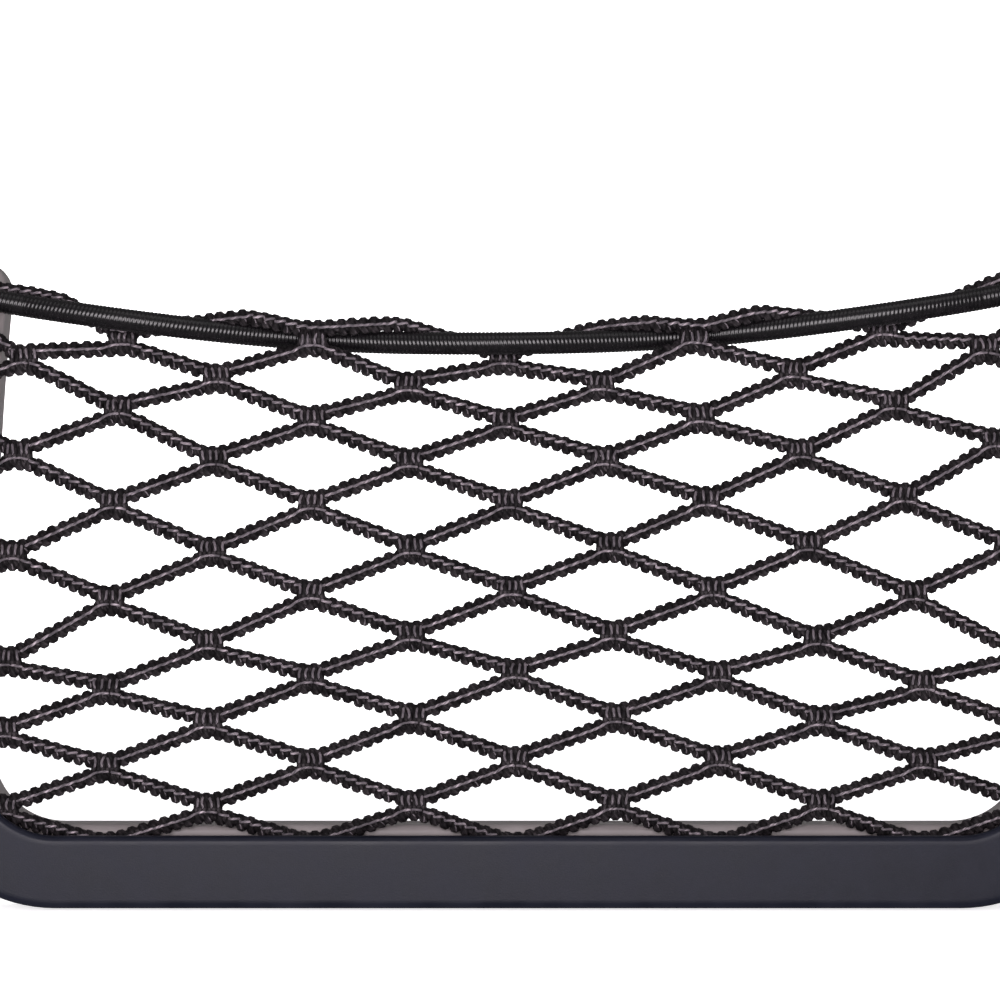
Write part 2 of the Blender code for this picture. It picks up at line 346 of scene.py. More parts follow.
def tubes(name, rings, closed, lengths):
    """Skin many like tubes at once.

    rings has the shape (tubes, rings, sides, 3). A closed tube joins its last ring to its first;
    an open one gets a cap at each end. lengths, (tubes, rings), or (tubes, rings + 1) for closed
    tubes, runs along each tube and becomes the second texture coordinate, while the first goes
    round it from 0 to 1.
    """
    count, steps, sides = rings.shape[:3]
    spans = steps if closed else steps - 1
    tube, step, side = np.meshgrid(
        np.arange(count), np.arange(spans), np.arange(sides), indexing="ij",
    )
    after_step = (step + 1) % steps
    after_side = (side + 1) % sides

    def index(a, b):
        return (tube * steps + a) * sides + b

    quads = np.stack([
        index(step, side),
        index(step, after_side),
        index(after_step, after_side),
        index(after_step, side),
    ], axis=-1).reshape(-1, 4)
    here = lengths[tube, step]
    there = lengths[tube, step + 1]
    left = side / sides
    right = (side + 1) / sides
    corners = [(left, here), (right, here), (right, there), (left, there)]
    uvs = np.stack([np.stack(pair, axis=-1) for pair in corners], axis=-2).reshape(-1, 4, 2)
    faces = [quads]
    blocks = [uvs]
    if not closed:
        start = np.arange(count)[:, None] * steps * sides + np.arange(sides)[::-1]
        finish = (np.arange(count)[:, None] * steps + steps - 1) * sides + np.arange(sides)
        faces.append(np.concatenate([start, finish]))
        blocks.append(np.zeros((2 * count, sides, 2)))
    return put_mesh(name, rings, faces, blocks)


def unit(vectors):
    """Vectors of length 1 along the last axis."""
    return vectors / np.linalg.norm(vectors, axis=-1, keepdims=True)


def ring_angles(sides):
    """Equal angles round a ring."""
    return np.arange(sides) * (2 * math.pi / sides)


def skin(centres, across, over, sides):
    """Rings of an elliptical tube: centre + across cos(angle) + over sin(angle)."""
    angle = ring_angles(sides)[:, None]
    flat = centres[..., None, :] + across[..., None, :] * np.cos(angle)
    return flat + over[..., None, :] * np.sin(angle)


# ---------------------------------------------------------------- lines of the net

def joint_places():
    """Return a dictionary (row, column) -> (x, z) of the joints, with a little unevenness."""
    random = np.random.default_rng(SEED)
    places = {}
    for row, (height, rise, tilt) in enumerate(ROWS):
        spread = min(row, LAST_SPREAD_ROW)
        for column in range(-OUTER_COLUMN - 1, OUTER_COLUMN + 2):
            if (row + column) % 2:
                continue
            off = random.uniform(-JOINT_JITTER, JOINT_JITTER, 2)
            pitch = COLUMN_PITCH + PITCH_GROWTH * spread
            x = MIDDLE_SHIFT + SHIFT_GROWTH * spread + pitch * column
            z = height + rise * (column / RISE_COLUMN) ** 2 + tilt * column
            if row == 0 and column in WOVEN_JOINTS:
                z -= WOVEN_JOINTS[column][0]
                off *= 0
            places[(row, column)] = (x + off[0], z + off[1])
    return places


def cord_height(u):
    """Height of the sagging cord at column u: a parabola with a slight tilt."""
    height, rise, tilt = ROWS[0]
    return height + rise * (u / RISE_COLUMN) ** 2 + tilt * u


def weave(u):
    """1 where the net passes behind the cord, -1 where it passes in front, 0 past the last column."""
    return np.cos(np.pi * np.asarray(u, dtype=float) / 2) * (np.abs(u) < OUTER_COLUMN)


def inner_half_width(z):
    """Half of the frame's inner width at height z: the arms lean in towards their tops."""
    return INNER_HALF_WIDTH - ARM_LEAN * (np.maximum(z, 0.0) / LEAN_HEIGHT) ** LEAN_POWER


def clamp_x(z):
    """Half width at height z of the line, under the cover, where the strands end."""
    drop = BAR_TOP + CORNER_RADIUS - z
    if drop <= 0:
        return INNER_HALF_WIDTH + CLAMP_LINE - CLAMP_LEAN * (z / LEAN_HEIGHT) ** LEAN_POWER
    radius = CORNER_RADIUS + CLAMP_LINE
    return INNER_HALF_WIDTH - CORNER_RADIUS + math.sqrt(radius ** 2 - drop ** 2)


def soft_ramp(distance, roundness):
    """A ramp from 0 to the distance: roundness * log(1 + exp(distance / roundness))."""
    return roundness * np.logaddexp(0.0, distance / roundness)


def column_x(u):
    """X of column u along the top row."""
    return MIDDLE_SHIFT + COLUMN_PITCH * np.asarray(u, dtype=float)


def column_at(x):
    """Column, as a decimal, at x along the top row."""
    return (x - MIDDLE_SHIFT) / COLUMN_PITCH


def strand_corners(strand, places):
    """Bends of a zigzag, in order along it.

    Each is x, z, depth behind the net's plane, roundness, half of the flat stretch, and kind. Kind
    is 1 where a valley stands on a joint, -1 where a peak hangs from one, and 0 elsewhere.
    """
    corners = []
    for column in range(-OUTER_COLUMN - 1, OUTER_COLUMN + 2):
        valley = (strand + column) % 2 == 0
        row = strand if valley else strand - 1
        if row < 0 or (strand == 0 and abs(column) > OUTER_COLUMN - 1):
            continue
        x, z = places[(row, column)]
        woven = row == 0 and column in WOVEN_JOINTS
        spacing = WOVEN_JOINTS[column][1] if woven else JOINT_SPACING
        behind = float(weave(column))
        if strand == 0:
            depth = SELVEDGE_WEAVE * behind - CORD_WEAVE * behind
        else:
            depth = NET_WEAVE * behind if row == 0 else 0.0
        side = 1 if valley else -1
        roundness = VALLEY_ROUND if valley else PEAK_ROUND
        flat = VALLEY_FLAT if valley else PEAK_FLAT
        corners.append((x, z + side * spacing, depth, roundness, flat, side if strand else 0))
    if strand == 0:
        for u, lift, behind in SELVEDGE_BENDS:
            depth = behind - CORD_WEAVE * float(weave(u))
            corners.append((float(column_x(u)), cord_height(u) + lift, depth, PEAK_ROUND, 0.0, 0))
    return np.array(sorted(corners))


def strand_line(strand, places):
    """Trace one strand: a zigzag, flat at each bend, whose corners are rounded by soft ramps.

    The height is a first straight run plus, for each corner, its change of slope times a soft
    ramp. Each corner is first moved out by what the rounding takes away there.
    """
    middle, z, depth, roundness, flat, kind = strand_corners(strand, places).T
    kept = np.stack([flat >= 0, flat > 0], axis=-1).ravel()
    x = np.stack([middle - flat, middle + flat], axis=-1).ravel()[kept]
    z, depth, roundness = (np.repeat(values, 2)[kept] for values in (z, depth, roundness))
    aim = z.copy()
    for _ in range(CORNER_PASSES):
        turn = np.concatenate([[0.0], np.diff(np.diff(z) / np.diff(x)), [0.0]])
        z = aim - turn * roundness * math.log(2)
    slopes = np.diff(z) / np.diff(x)
    reach = clamp_x(ROWS[strand][0] + ROWS[strand][1])
    run = np.arange(-reach, reach + LINE_STEP / 2, LINE_STEP)
    ramps = soft_ramp(run[:, None] - x[None, 1:-1], roundness[None, 1:-1])
    height = z[0] + slopes[0] * (run - x[0]) + (ramps * np.diff(slopes)).sum(axis=1)
    phase = np.interp(run, x, np.arange(len(x)))
    last = np.floor(phase).astype(int)
    share = (1 - np.cos(np.pi * (phase - last))) / 2
    behind = mix(share, depth[last], depth[np.minimum(last + 1, len(x) - 1)])
    slope = np.gradient(height, run)
    step = np.hypot(np.diff(run), np.diff(height))
    close = np.exp(-(np.abs(run[:, None] - middle[None, :]) / JOINT_HALF_WIDTH) ** JOINT_EDGE_POWER)
    return {
        "x": run,
        "z": height,
        "y": NET_PLANE + behind,
        "s": np.concatenate([[0.0], np.cumsum(step)]),
        "tx": 1 / np.hypot(1, slope),
        "tz": slope / np.hypot(1, slope),
        "fall": 0.5 - 0.5 * np.tanh(slope / SLOPE_BLEND),
        "valley": (close * (kind > 0)).sum(axis=1).clip(0, 1),
        "peak": (close * (kind < 0)).sum(axis=1).clip(0, 1),
    }


def along(line, s, name):
    """Read one quantity of a strand at lengths s."""
    return np.interp(s, line["s"], line[name])


def place(line, s, up, back):
    """Points at lengths s, moved up across the strand and back into the door."""
    tx = along(line, s, "tx")
    tz = along(line, s, "tz")
    x = along(line, s, "x") - tz * up
    z = along(line, s, "z") + tx * up
    return np.stack([x, along(line, s, "y") + back, z], axis=-1)


def mix(share, low, high):
    """Blend from low at share 0 to high at share 1."""
    return low + (high - low) * share


# ---------------------------------------------------------------- pieces of the net

def make_cores(lines):
    """The stretched elastic cores: one elliptical tube along each strand, slightly swollen.

    On falling legs the core lies a little higher, which leaves the picots hanging below it.
    """
    blocks = []
    count = int(min(line["s"][-1] for line in lines) / CORE_STEP)
    for line in lines:
        s = np.linspace(0.0, line["s"][-1], count)
        swell = 1 + CORE_SWELL * np.sin(2 * np.pi * s / STITCH_PITCH)
        lift = CORE_LIFT * along(line, s, "fall") * (1 - along(line, s, "peak"))
        centres = place(line, s, lift, 0.0)
        tall = place(line, s, lift + CORE_HALF_HEIGHT * swell, 0.0) - centres
        deep = np.zeros_like(centres)
        deep[:, 1] = CORE_HALF_DEPTH
        blocks.append(skin(centres, tall, deep, CORE_SIDES))
    lengths = np.tile(np.arange(count) * CORE_STEP, (len(lines), 1))
    return tubes("net_cores", np.stack(blocks), False, lengths)


def stitch_places(line, random):
    """Lengths at which the picots sit along a strand."""
    count = int(line["s"][-1] / STITCH_PITCH) - 1
    even = (np.arange(count) + 1.0) * STITCH_PITCH
    return even + random.uniform(-STITCH_JITTER, STITCH_JITTER, count) * STITCH_PITCH


def make_picots(name, lines, random):
    """Loops of thick yarn round the core, whose tops and bottoms are the picots along both edges.

    Each loop is an ellipse round the strand, slanted along it, of a flattened yarn.
    """
    angle = ring_angles(PICOT_STEPS)
    half_width, half_thickness = PICOT_YARN
    blocks = []
    for line in lines:
        s = stitch_places(line, random)[:, None]
        fall = along(line, s, "fall")
        joint = PICOT_REACH["joint"]
        high = mix(fall, PICOT_REACH["rising"][0], PICOT_REACH["falling"][0])
        low = mix(fall, PICOT_REACH["rising"][1], PICOT_REACH["falling"][1])
        high = mix(along(line, s, "peak"), high, joint) * random.uniform(*PICOT_REACH_SPREAD, s.shape)
        low = mix(along(line, s, "valley"), low, joint) * random.uniform(*PICOT_REACH_SPREAD, s.shape)
        reach = np.where(np.sin(angle) > 0, high - half_thickness, low - half_thickness)
        up = np.sin(angle) * reach
        back = -PICOT_DEPTH * np.cos(angle)
        lean = -PICOT_SLANT * np.sin(angle) * mix(fall, PICOT_RISING_SLANT, 1.0)
        centres = place(line, s + lean, up, back)
        further = place(line, s + lean + PICOT_AHEAD, up, back)
        nearer = place(line, s + lean - PICOT_AHEAD, up, back)
        ahead = unit(further - nearer)
        run = unit(np.roll(centres, -1, axis=1) - np.roll(centres, 1, axis=1))
        out = unit(np.cross(run, ahead))
        wide = half_width * (1 + PICOT_BULGE * np.abs(np.sin(angle)))
        blocks.append(skin(centres, ahead * wide[:, None], out * half_thickness, YARN_SIDES))
    rings = np.concatenate(blocks)
    lengths = np.tile(np.arange(PICOT_STEPS + 1) * PICOT_STEP_LENGTH, (len(rings), 1))
    return tubes(name, rings, True, lengths)


def make_chains(lines):
    """The chain of stitches along the front of each strand.

    On rising legs it runs straight. On falling legs each link climbs across the strand and then
    dives under the next one, so that it reads as a braid.
    """
    blocks = []
    count = int(min(line["s"][-1] for line in lines) / STITCH_PITCH) * CHAIN_STEPS
    rest = 1 - LINK_SHARE
    depth = np.array([0.0, 1.0, 0.0])
    for line in lines:
        s = np.linspace(0.0, line["s"][-1], count)
        beat = s / STITCH_PITCH
        beat = beat - np.floor(beat)
        fall = np.maximum(along(line, s, "fall"), CHAIN_LEAST_FALL)
        climb = 2 * beat / LINK_SHARE - 1
        link = np.where(beat < LINK_SHARE, climb, 1 - 2 * (beat - LINK_SHARE) / rest)
        dive = np.where(beat < LINK_SHARE, 0.0, np.sin(np.pi * (beat - LINK_SHARE) / rest))
        peak = along(line, s, "peak")
        valley = along(line, s, "valley")
        up = mix(peak, CHAIN_LIFT * fall, CHAIN_PEAK_LIFT) + CHAIN_SWING * fall * (1 - peak) * link
        front = -CHAIN_FRONT + CHAIN_DIVE * dive * fall + CHAIN_TILT * link * fall
        front = front + CHAIN_VALLEY_DEPTH * valley
        centres = place(line, s, up, front)
        run = unit(np.gradient(centres, axis=0))
        tall = unit(np.cross(depth, run)) * CHAIN_RADIUS
        over = unit(np.cross(run, tall)) * CHAIN_RADIUS * CHAIN_FLATNESS
        blocks.append(skin(centres, tall, over, YARN_SIDES))
    lengths = np.tile(np.arange(count) * STITCH_PITCH / CHAIN_STEPS, (len(lines), 1))
    return tubes("net_chains", np.stack(blocks), False, lengths)


def make_side_yarns(lines, random):
    """Short strokes of thin yarn that come out under the chain and slant over the lower picots.

    They stand at some of the stitches, mostly on falling legs. With share running from 0 at the
    head to 1 at the foot, the depth is that of the middle, plus the foot's times share cubed, plus
    the head's times the fifth power of what is left.
    """
    # Their pale colour, from the stitch yarn, is a painted glint on the flanks of the lower picots.
    share = np.linspace(0.0, 1.0, SIDE_YARN_STEPS)
    middle, foot, head = SIDE_YARN_DEPTHS
    back = middle + foot * share ** 3 + head * (1 - share) ** 5
    depth = np.array([0.0, 1.0, 0.0])
    blocks = []
    for line in lines:
        s = stitch_places(line, random)[:, None] + SIDE_YARN_OFFSET
        fall = along(line, s, "fall")[:, 0]
        kept_share = mix(fall, SIDE_YARN_RISING_KEPT, 1.0) * SIDE_YARN_KEPT
        s = s[random.uniform(0.0, 1.0, len(s)) < kept_share]
        length = random.uniform(*SIDE_YARN_LENGTH, s.shape)
        up = -SIDE_YARN_HEAD - length * share * PICOT_REACH["falling"][1]
        lean = mix(share, *SIDE_YARN_LEAN) * random.uniform(*SIDE_YARN_LEAN_SPREAD, s.shape)
        lean = lean + SIDE_YARN_BOW * np.sin(np.pi * share)
        centres = place(line, s + lean, up, np.broadcast_to(back, up.shape))
        run = unit(np.gradient(centres, axis=1))
        wide = unit(np.cross(depth, run)) * SIDE_YARN_RADIUS
        over = unit(np.cross(run, wide)) * SIDE_YARN_RADIUS
        blocks.append(skin(centres, wide, over, SIDE_YARN_SIDES))
    rings = np.concatenate(blocks)
    lengths = np.tile(np.arange(SIDE_YARN_STEPS) * SIDE_YARN_STEP_LENGTH, (len(rings), 1))
    return tubes("net_side_yarns", rings, False, lengths)


def make_joint_rings(name, places, form, reach, random):
    """Upright rings at every joint: flattened loops, x leaning a little with height.

    form holds how many stand side by side, their spacing, half depth, yarn radius and looseness.
    reach gives the centre's rise and the half height, for joints before the cord, behind it and
    elsewhere.
    """
    angle = ring_angles(RING_STEPS)
    outline = np.sign(np.cos(angle)) * np.abs(np.cos(angle)) ** RING_SQUARENESS
    count = form["count"]
    slot = np.arange(count) - (count - 1) / 2
    centres = []
    for (row, column), (x, z) in places.items():
        if abs(column) > OUTER_COLUMN - (row == 0):
            continue
        behind = float(weave(column)) if row == 0 else 0.0
        kind = "plain" if row else "behind" if behind > 0 else "before"
        rise, half = reach[kind]
        half = half * random.uniform(*RING_HEIGHT_SPREAD, count)
        middle = x + slot * form["spacing"] + random.uniform(-1, 1, count) * form["loose"]
        lean = random.uniform(-RING_LEAN, RING_LEAN, count)
        up = np.sin(angle)[None, :] * half[:, None]
        bow = random.uniform(-1, 1, count)[:, None] * form["loose"] * np.cos(2 * angle)[None, :]
        px = middle[:, None] + lean[:, None] * up + bow
        py = NET_PLANE + NET_WEAVE * behind - form["depth"] * outline
        centres.append(np.stack([px, np.broadcast_to(py, px.shape), z + rise + up], axis=-1))
    centres = np.concatenate(centres)
    run = unit(np.roll(centres, -1, axis=1) - np.roll(centres, 1, axis=1))
    wide = np.broadcast_to(np.array([form["yarn"], 0.0, 0.0]), centres.shape)
    over = unit(np.cross(run, wide)) * form["yarn"]
    rings = skin(centres, wide, over, YARN_SIDES)
    lengths = np.tile(np.arange(RING_STEPS + 1) * RING_STEP_LENGTH, (len(rings), 1))
    return tubes(name, rings, True, lengths)


# ---------------------------------------------------------------- cord

def cord_path(x):
    """Centre of the cord at x: it sags between the arms and weaves through the top row."""
    u = column_at(x)
    return np.stack([x, NET_PLANE - CORD_WEAVE * weave(u), cord_height(u)], axis=-1)


def make_cord():
    """The cord: a round tube whose radius follows fine ribs round it, which lean as they go.

    The ribs' phase is the length over their pitch plus a lean, times the sine of the angle from
    the front, that swings slowly along the cord.
    """
    count = int(2 * CORD_END / RIB_PITCH * RIB_STEPS)
    x = np.linspace(-CORD_END, CORD_END, count)
    centres = cord_path(x)
    run = unit(np.gradient(centres, axis=0))
    up = unit(np.cross(np.cross(run, [0.0, 0.0, 1.0]), run))
    front = np.cross(up, run)
    angle = ring_angles(CORD_SIDES)
    lean = RIB_LEAN * np.cos(2 * np.pi * (x - RIB_LEAN_MIDDLE) / RIB_LEAN_LENGTH)
    turn = 2 * np.pi * x[:, None] / RIB_PITCH + lean[:, None] * np.sin(angle)[None, :]
    radius = CORD_RADIUS + RIB_HEIGHT * (np.abs(np.sin(turn / 2)) - RIB_MEAN)
    level = np.cos(angle)[None, :, None] * front[:, None, :]
    ring = level + np.sin(angle)[None, :, None] * up[:, None, :]
    rings = centres[:, None, :] + ring * radius[..., None]
    item = tubes("cord_sheath", rings[None], False, x[None] + CORD_END)
    return item, centres


# ---------------------------------------------------------------- frame

def inner_edge():
    """Right half of the pocket's inner edge as points and outward normals, from the middle up."""
    corner_top = BAR_TOP + CORNER_RADIUS
    bar = np.linspace(0.0, INNER_HALF_WIDTH - CORNER_RADIUS, BAR_STEPS)[:-1]
    turn = np.linspace(-np.pi / 2, 0.0, CORNER_STEPS)
    arm = np.linspace(corner_top, ARM_END_CENTRE, ARM_STEPS)[1:]
    x = np.concatenate([
        bar,
        INNER_HALF_WIDTH - CORNER_RADIUS + CORNER_RADIUS * np.cos(turn),
        inner_half_width(arm),
    ])
    z = np.concatenate([
        np.full(len(bar), BAR_TOP),
        corner_top + CORNER_RADIUS * np.sin(turn),
        arm,
    ])
    run = unit(np.stack([np.gradient(x), np.gradient(z)], axis=-1))
    run[0] = (1.0, 0.0)
    return np.stack([x, z], axis=-1), np.stack([run[:, 1], -run[:, 0]], axis=-1)


def upwards(normal):
    """The direction along the edge that is square to its normal and points up."""
    run = np.array([-normal[1], normal[0]])
    return run * np.sign(run[1])


def band(inside, outside):
    """Outline of the U between two offsets from the inner edge.

    Returns the middle line's point and the spoke out to the outline for each outline point, going
    down the right arm's inner side, along, up the left one, round its end and back outside; and how
    far each outline point is on the outer side, from 0 to 1.
    """
    edge, normal = inner_edge()
    radius = (outside - inside) / 2
    middle = edge + normal * (inside + outside) / 2
    left_middle = (middle * [-1, 1])[1:]
    left_normal = (normal * [-1, 1])[1:]
    whole = np.concatenate([middle[::-1], left_middle])
    outward = np.concatenate([normal[::-1], left_normal])
    turns = np.linspace(0.0, np.pi, END_STEPS)[1:-1, None]
    left_cap = -outward[-1] * np.cos(turns) + upwards(outward[-1]) * np.sin(turns)
    right_cap = outward[0] * np.cos(turns) + upwards(outward[0]) * np.sin(turns)
    centres = np.concatenate([
        whole,
        np.repeat(whole[-1:], len(turns), axis=0),
        whole[::-1],
        np.repeat(whole[:1], len(turns), axis=0),
    ])
    spokes = np.concatenate([-outward, left_cap, outward[::-1], right_cap]) * radius
    outer = np.concatenate([
        np.zeros(len(whole)),
        np.zeros(len(turns)),
        np.ones(len(whole)),
        np.zeros(len(turns)),
    ])
    return centres, spokes, outer


def rounded_profile(back, front, round_share, roundness):
    """Half section from the back's middle out, round the edge and in to the front's middle.

    Returns reach from the middle line, 0 to 1, and depth.
    """
    face = np.array(FACE_SHARES) * (1 - round_share)
    bend = np.linspace(0.0, np.pi / 2, EDGE_STEPS)
    reach = np.concatenate([
        face,
        1 - round_share + round_share * np.sin(bend),
        [1.0],
        1 - round_share + round_share * np.cos(bend),
        face[::-1],
    ])
    depth = np.concatenate([
        np.full(len(face), back),
        back - roundness * (1 - np.cos(bend)),
        [(back + front) / 2],
        front + roundness * (1 - np.sin(bend)),
        np.full(len(face), front),
    ])
    return reach, depth


def outline_solid(name, centres, spokes, reach, depth):
    """Skin a solid whose outline shrinks towards its middle line by reach at each depth."""
    points = centres[:, None, :] + spokes[:, None, :] * reach[..., None]
    depth = np.broadcast_to(depth, points.shape[:2])
    grid = np.stack([points[..., 0], depth, points[..., 1]], axis=-1)
    around, across = grid.shape[:2]
    i, j = np.meshgrid(np.arange(around), np.arange(across - 1), indexing="ij")
    after = (i + 1) % around
    here = i * across + j
    there = after * across + j
    quads = np.stack([here, here + 1, there + 1, there], axis=-1)
    item = put_mesh(name, grid, [quads.reshape(-1, 4)])
    close_seams(item)
    return item


def close_seams(item):
    """Merge the points that meet on the middle line."""
    shape = bmesh.new()
    shape.from_mesh(item.data)
    bmesh.ops.remove_doubles(shape, verts=shape.verts, dist=MERGE_DISTANCE)
    bmesh.ops.dissolve_degenerate(shape, edges=shape.edges, dist=SLIVER_LENGTH)
    shape.to_mesh(item.data)
    shape.free()


def make_base():
    """The base against the door: a U of rounded rectangular section."""
    centres, spokes, _ = band(*BASE_BAND)
    radius = (BASE_BAND[1] - BASE_BAND[0]) / 2
    reach, depth = rounded_profile(BASE_HIGH[1], BASE_LOW[1], BASE_ROUND / radius, BASE_ROUND)
    reach = np.tile(reach, (len(centres), 1))
    return outline_solid("frame_base_moulding", centres, spokes, reach, depth[None, :])


def make_cover():
    """The cover: a rounded plate over the net's edge, with a wall down its outer side."""
    centres, spokes, outer = band(*COVER_BAND)
    radius = (COVER_BAND[1] - COVER_BAND[0]) / 2
    share = COVER_ROUND / radius
    plate_reach, plate_depth = rounded_profile(COVER_BACK, COVER_LOW[1], share, COVER_ROUND)
    wall_foot = COVER_HIGH[1]
    inner_wall = 1 - WALL_THICKNESS / radius
    inside = slice(0, len(FACE_SHARES) + 1)
    foot = slice(len(FACE_SHARES) + 1, len(FACE_SHARES) + EDGE_STEPS)
    side = len(FACE_SHARES) + EDGE_STEPS
    bend = np.linspace(0.0, 1.0, EDGE_STEPS - 1)
    wall_reach = plate_reach.copy()
    wall_reach[inside] = (0.0, inner_wall / 2, inner_wall, inner_wall)
    wall_reach[foot] = mix(bend, inner_wall + WALL_FOOT_EDGE, 1.0)
    wall_depth = plate_depth.copy()
    wall_depth[inside] = (COVER_BACK, COVER_BACK, COVER_BACK, wall_foot)
    wall_depth[foot] = wall_foot - WALL_FOOT_ROUND * bend ** 2
    wall_depth[side] = (wall_foot + COVER_LOW[1]) / 2
    weight = outer[:, None]
    reach = mix(weight, plate_reach[None, :], wall_reach[None, :])
    depth = mix(weight, plate_depth[None, :], wall_depth[None, :])
    return outline_solid("frame_cover_moulding", centres, spokes, reach, depth)


# ---------------------------------------------------------------- materials

class Nodes:
    """A material's or a group's node tree, with short calls to add and join nodes."""

    def __init__(self, tree):
        self.tree = tree

    def add(self, kind, **settings):
        node = self.tree.nodes.new(kind)
        for name, value in settings.items():
            setattr(node, name, value)
        return node

    def join(self, source, target):
        self.tree.links.new(source, target)

    def math(self, operation, first, second=None):
        node = self.add("ShaderNodeMath", operation=operation)
        self.feed(first, node.inputs[0])
        if second is not None:
            self.feed(second, node.inputs[1])
        return node.outputs[0]

    def feed(self, value, socket):
        if isinstance(value, bpy.types.NodeSocket):
            self.join(value, socket)
        else:
            socket.default_value = value

    def mix_color(self, factor, first, second):
        node = self.add("ShaderNodeMix", data_type="RGBA")
        self.feed(factor, node.inputs["Factor"])
        self.feed(first, node.inputs[6])
        self.feed(second, node.inputs[7])
        return node.outputs[2]

    def remap(self, value, low=0.0, high=1.0, to_low=0.0, to_high=1.0):
        node = self.add("ShaderNodeMapRange")
        self.feed(value, node.inputs["Value"])
        ends = {"From Min": low, "From Max": high, "To Min": to_low, "To Max": to_high}
        for name, number in ends.items():
            node.inputs[name].default_value = number
        return node.outputs["Result"]

    def noise(self, vector, scale, detail):
        node = self.add("ShaderNodeTexNoise")
        node.inputs["Scale"].default_value = scale
        node.inputs["Detail"].default_value = detail
        self.join(vector, node.inputs["Vector"])
        return node.outputs["Fac"]

    def bump(self, height, strength, distance):
        node = self.add("ShaderNodeBump")
        node.inputs["Strength"].default_value = strength
        node.inputs["Distance"].default_value = distance
        self.join(height, node.inputs["Height"])
        return node.outputs["Normal"]


def yarn_group():
    """A group that turns a tube's own coordinates into twisted filaments with a painted glint.

    Inputs: plies round the yarn, twist for each millimetre, length in millimetres from one tight
    spot to the next, the yarn's own dark colour and the painted glint colour. Outputs: colour,
    roughness and height. The colour is a painted glint along the bundles of filaments that stand
    proud, where it is smoother too, and the glint fades to painted shade at the tight spots.
    """
    number, color = "NodeSocketFloat", "NodeSocketColor"
    given_sockets = {"Plies": number, "Twist": number, "Link": number, "Dark": color, "Light": color}
    result_sockets = {"Color": color, "Roughness": number, "Height": number}
    group = bpy.data.node_groups.new("twisted_filaments_and_glints", "ShaderNodeTree")
    for side, sockets in (("INPUT", given_sockets), ("OUTPUT", result_sockets)):
        for name, kind in sockets.items():
            group.interface.new_socket(name=name, in_out=side, socket_type=kind)
    nodes = Nodes(group)
    given = nodes.add("NodeGroupInput").outputs
    result = nodes.add("NodeGroupOutput").inputs
    yarn_place = nodes.add("ShaderNodeUVMap", uv_map="yarn")
    split = nodes.add("ShaderNodeSeparateXYZ")
    nodes.join(yarn_place.outputs["UV"], split.inputs[0])
    around, length = split.outputs["X"], split.outputs["Y"]

    turned = nodes.math(
        "ADD",
        nodes.math("MULTIPLY", around, given["Plies"]),
        nodes.math("MULTIPLY", length, given["Twist"]),
    )
    ply = nodes.math("ABSOLUTE", nodes.math("SINE", nodes.math("MULTIPLY", turned, math.pi)))
    fibre_place = nodes.add("ShaderNodeCombineXYZ")
    nodes.join(nodes.math("MULTIPLY", turned, FIBRES_PER_PLY), fibre_place.inputs["X"])
    nodes.join(nodes.math("MULTIPLY", length, FIBRE_DRIFT), fibre_place.inputs["Y"])
    fine = nodes.noise(fibre_place.outputs[0], scale=1.0, detail=3.0)
    spot = nodes.add("ShaderNodeTexCoord")
    broad = nodes.noise(spot.outputs["Object"], scale=900.0, detail=2.0)
    beat = nodes.math("MULTIPLY", nodes.math("DIVIDE", length, given["Link"]), math.pi)

    fibres = nodes.remap(fine, low=0.35, high=0.7)
    # The painted glint's strength varies at random from patch to patch.
    patch = nodes.remap(broad, low=0.38, high=0.62, to_low=0.2)
    # Painted shade in the gaps between links: the glint fades towards each tight spot.
    glint_outside_gaps = nodes.remap(
        nodes.math("ABSOLUTE", nodes.math("SINE", beat)),
        low=0.1, high=0.9, to_low=0.3,
    )
    strength = nodes.math("MULTIPLY", nodes.remap(ply, to_low=0.35), fibres)
    # light here is the painted glint's mask: ply and fibre stripes, patches, and the gaps' painted
    # shade.
    light = nodes.math("MULTIPLY", nodes.math("MULTIPLY", strength, patch), glint_outside_gaps)
    height = nodes.math(
        "ADD",
        nodes.math("MULTIPLY", ply, PLY_HEIGHT),
        nodes.math("MULTIPLY", fibres, FIBRE_HEIGHT),
    )
    # Colour: the yarn's own dark colour, turning to the painted glint colour where the mask is high.
    nodes.join(nodes.mix_color(light, given["Dark"], given["Light"]), result["Color"])
    nodes.join(nodes.remap(light, to_low=0.62, to_high=0.38), result["Roughness"])
    nodes.join(height, result["Height"])
    return group


def new_material(name):
    """A Principled material; returns it with its nodes and its shader."""
    material = bpy.data.materials.new(name)
    material.use_nodes = True
    nodes = Nodes(material.node_tree)
    shader = material.node_tree.nodes["Principled BSDF"]
    return material, nodes, shader


def yarn_material(name, group, plies, twist, link, dark, light, relief, gloss):
    """Polyester yarn with twisted filaments; its pale colour is a painted glint."""
    material, nodes, shader = new_material(name)
    yarn = nodes.add("ShaderNodeGroup", node_tree=group)
    yarn.inputs["Plies"].default_value = plies
    yarn.inputs["Twist"].default_value = twist
    yarn.inputs["Link"].default_value = link
    yarn.inputs["Dark"].default_value = (*dark, 1.0)
    yarn.inputs["Light"].default_value = (*light, 1.0)
    bump = nodes.bump(yarn.outputs["Height"], relief, YARN_RELIEF)
    nodes.join(yarn.outputs["Color"], shader.inputs["Base Color"])
    nodes.join(yarn.outputs["Roughness"], shader.inputs["Roughness"])
    nodes.join(bump, shader.inputs["Normal"])
    shader.inputs["Specular IOR Level"].default_value = gloss
    return material


